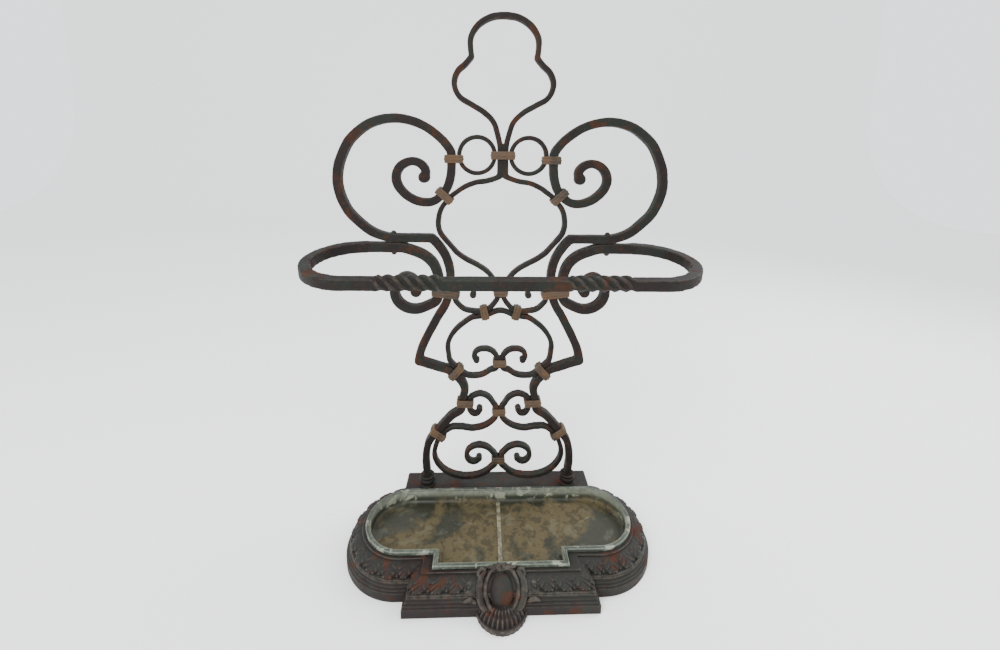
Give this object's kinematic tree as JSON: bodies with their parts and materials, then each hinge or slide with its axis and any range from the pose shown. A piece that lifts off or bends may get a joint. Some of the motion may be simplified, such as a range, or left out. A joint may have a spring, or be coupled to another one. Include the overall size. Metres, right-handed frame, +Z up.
{
  "type": "umbrella stand",
  "caption": "Forged iron umbrella stand with a scrollwork back, a horizontal hoop for umbrellas and a hollow cast base that holds a lift-out drip tray",
  "frame": {"origin": "on the floor, under the middle of the overall width and depth", "axes": "+Z up, +Y to the back where the scrollwork stands, +X to the right as seen from the front"},
  "size_m": [0.539, 0.2304, 0.7673],
  "materials": {
    "bar_iron": "worn near-black paint over forged iron, rust at edges",
    "collar_iron": "bare forged strip, brown and rubbed",
    "fastener_iron": "dark iron",
    "cast_base": "dark brown paint worn to rust on low edges",
    "zinc": "weathered sheet zinc, green and brown stains",
    "solder": "dull solder"
  },
  "bodies": {
    "stand": {"base_casting": "cast_base", "big_collar_left": "collar_iron", "big_collar_right": "collar_iron", "centre_collar": "collar_iron", "crest_bar": "bar_iron", "crest_collar": "collar_iron", "elbow_collar_left": "collar_iron", "elbow_collar_right": "collar_iron", "foot_collar_left": "collar_iron", "foot_collar_right": "collar_iron", "foot_nuts": "fastener_iron", "foot_washers": "fastener_iron", "hoop_bar": "bar_iron", "low_centre_collar": "collar_iron", "low_collar_left": "collar_iron", "low_collar_right": "collar_iron", "lower_scroll_left": "bar_iron", "lower_scroll_right": "bar_iron", "lyre_bar": "bar_iron", "lyre_collar": "collar_iron", "lyre_top_collar_left": "collar_iron", "lyre_top_collar_right": "collar_iron", "mid_centre_collar": "collar_iron", "mid_collar_left": "collar_iron", "mid_collar_right": "collar_iron", "oval_collar_left": "collar_iron", "oval_collar_right": "collar_iron", "ring_collar_left": "collar_iron", "ring_collar_right": "collar_iron", "ring_left": "bar_iron", "ring_right": "bar_iron", "shoulder_rivets": "fastener_iron", "stile_left": "bar_iron", "stile_right": "bar_iron"},
    "drip_tray": {"tray_left": "zinc", "tray_right": "zinc", "tray_rim": "zinc", "tray_seam": "solder"}
  },
  "joints": [
    {"name": "tray_lift", "type": "slide", "parent": "stand", "child": "drip_tray", "axis": [0, 0, 1], "range_m": [0, 0.06]}
  ]
}
